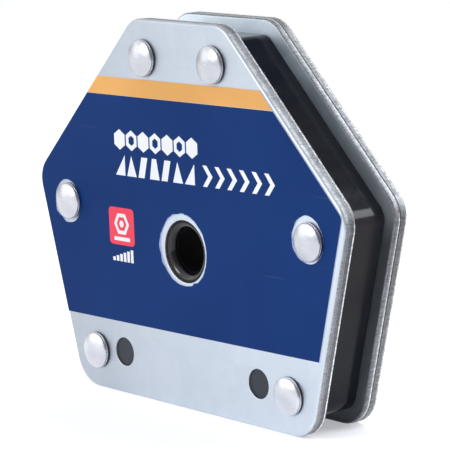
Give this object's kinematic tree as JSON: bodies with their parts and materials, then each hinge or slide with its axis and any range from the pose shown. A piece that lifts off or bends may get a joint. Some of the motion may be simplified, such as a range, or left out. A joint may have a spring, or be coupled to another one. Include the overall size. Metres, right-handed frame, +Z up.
{
  "type": "welding magnet holder",
  "caption": "Flat hexagonal magnetic holder whose straight edges grip steel plate or tube at set angles for tack welding, with a lined through bore.",
  "frame": {"origin": "axis of the through bore, half way through the core frame", "axes": "+X to the right as the labelled front is seen, +Y away from the front, along the bore, +Z up with the holder standing on its wide flat edge"},
  "size_m": [0.1208, 0.0244, 0.1],
  "materials": {
    "zinc_steel": "bright zinc plating with a faint spangle, dull sheared edges",
    "label_film": "satin printed vinyl film, blue field with an orange stripe",
    "core_plastic": "glossy black moulded plastic",
    "bush_plastic": "smooth black moulded plastic",
    "ferrite": "ground charcoal grey ferrite",
    "rivet_metal": "bright cold-headed aluminium"
  },
  "bodies": {
    "root": {"front_label": "label_film", "front_cover_plate": "zinc_steel", "front_pole_plate": "zinc_steel", "core_frame": "core_plastic", "rear_pole_plate": "zinc_steel", "rear_cover_plate": "zinc_steel", "front_bore_bush": "bush_plastic", "rear_bore_bush": "bush_plastic", "magnet_top": "ferrite", "magnet_upper_left": "ferrite", "magnet_upper_right": "ferrite", "magnet_lower_left": "ferrite", "magnet_lower_right": "ferrite", "magnet_bottom": "ferrite", "rivet_top_left": "rivet_metal", "rivet_top_right": "rivet_metal", "rivet_side_left": "rivet_metal", "rivet_side_right": "rivet_metal", "rivet_bottom_left": "rivet_metal", "rivet_bottom_right": "rivet_metal"}
  },
  "joints": []
}
